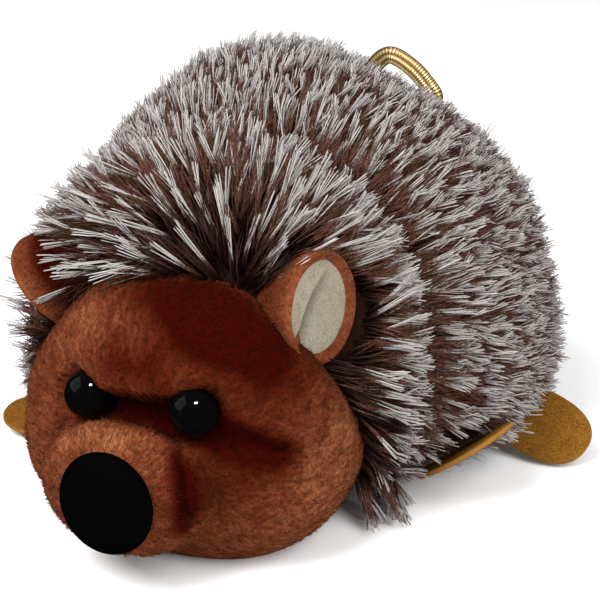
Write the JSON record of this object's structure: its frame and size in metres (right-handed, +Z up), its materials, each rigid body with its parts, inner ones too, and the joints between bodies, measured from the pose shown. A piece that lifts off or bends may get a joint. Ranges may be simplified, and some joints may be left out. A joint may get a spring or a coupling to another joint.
{
  "type": "plush hedgehog toy",
  "caption": "Plush hedgehog toy lying on its belly: frosted brown pile back, short-pile brown face and ears, black eyes and nose, tan felt feet and a gold hang loop.",
  "frame": {"origin": "middle of the underside of the bounding box, on the floor under the toy's belly", "axes": "+Z up; the nose points to -Y; +X is the toy's own left side"},
  "size_m": [0.1506, 0.1664, 0.0965],
  "materials": {
    "long_pile": "long faux-fur pile, dark red-brown at the root with greyish white tips",
    "short_pile": "short dense red-brown plush",
    "cream_plush": "short cream velour",
    "flocked_nose": "matte black flock",
    "eye_bead": "glossy black bead",
    "tan_felt": "pressed tan felt",
    "gold_ribbon": "woven metallic gold ribbon with brown stripes"
  },
  "bodies": {
    "root": {"body": "long_pile", "head": "long_pile", "face": "short_pile", "muzzle": "short_pile", "belly": "short_pile", "ear_left": "short_pile", "ear_right": "short_pile", "ear_lining_left": "cream_plush", "ear_lining_right": "cream_plush", "nose": "flocked_nose", "eye_left": "eye_bead", "eye_right": "eye_bead", "foot_front_left": "tan_felt", "foot_front_right": "tan_felt", "foot_rear_left": "tan_felt", "foot_rear_right": "tan_felt", "hang_loop": "gold_ribbon"}
  },
  "joints": []
}
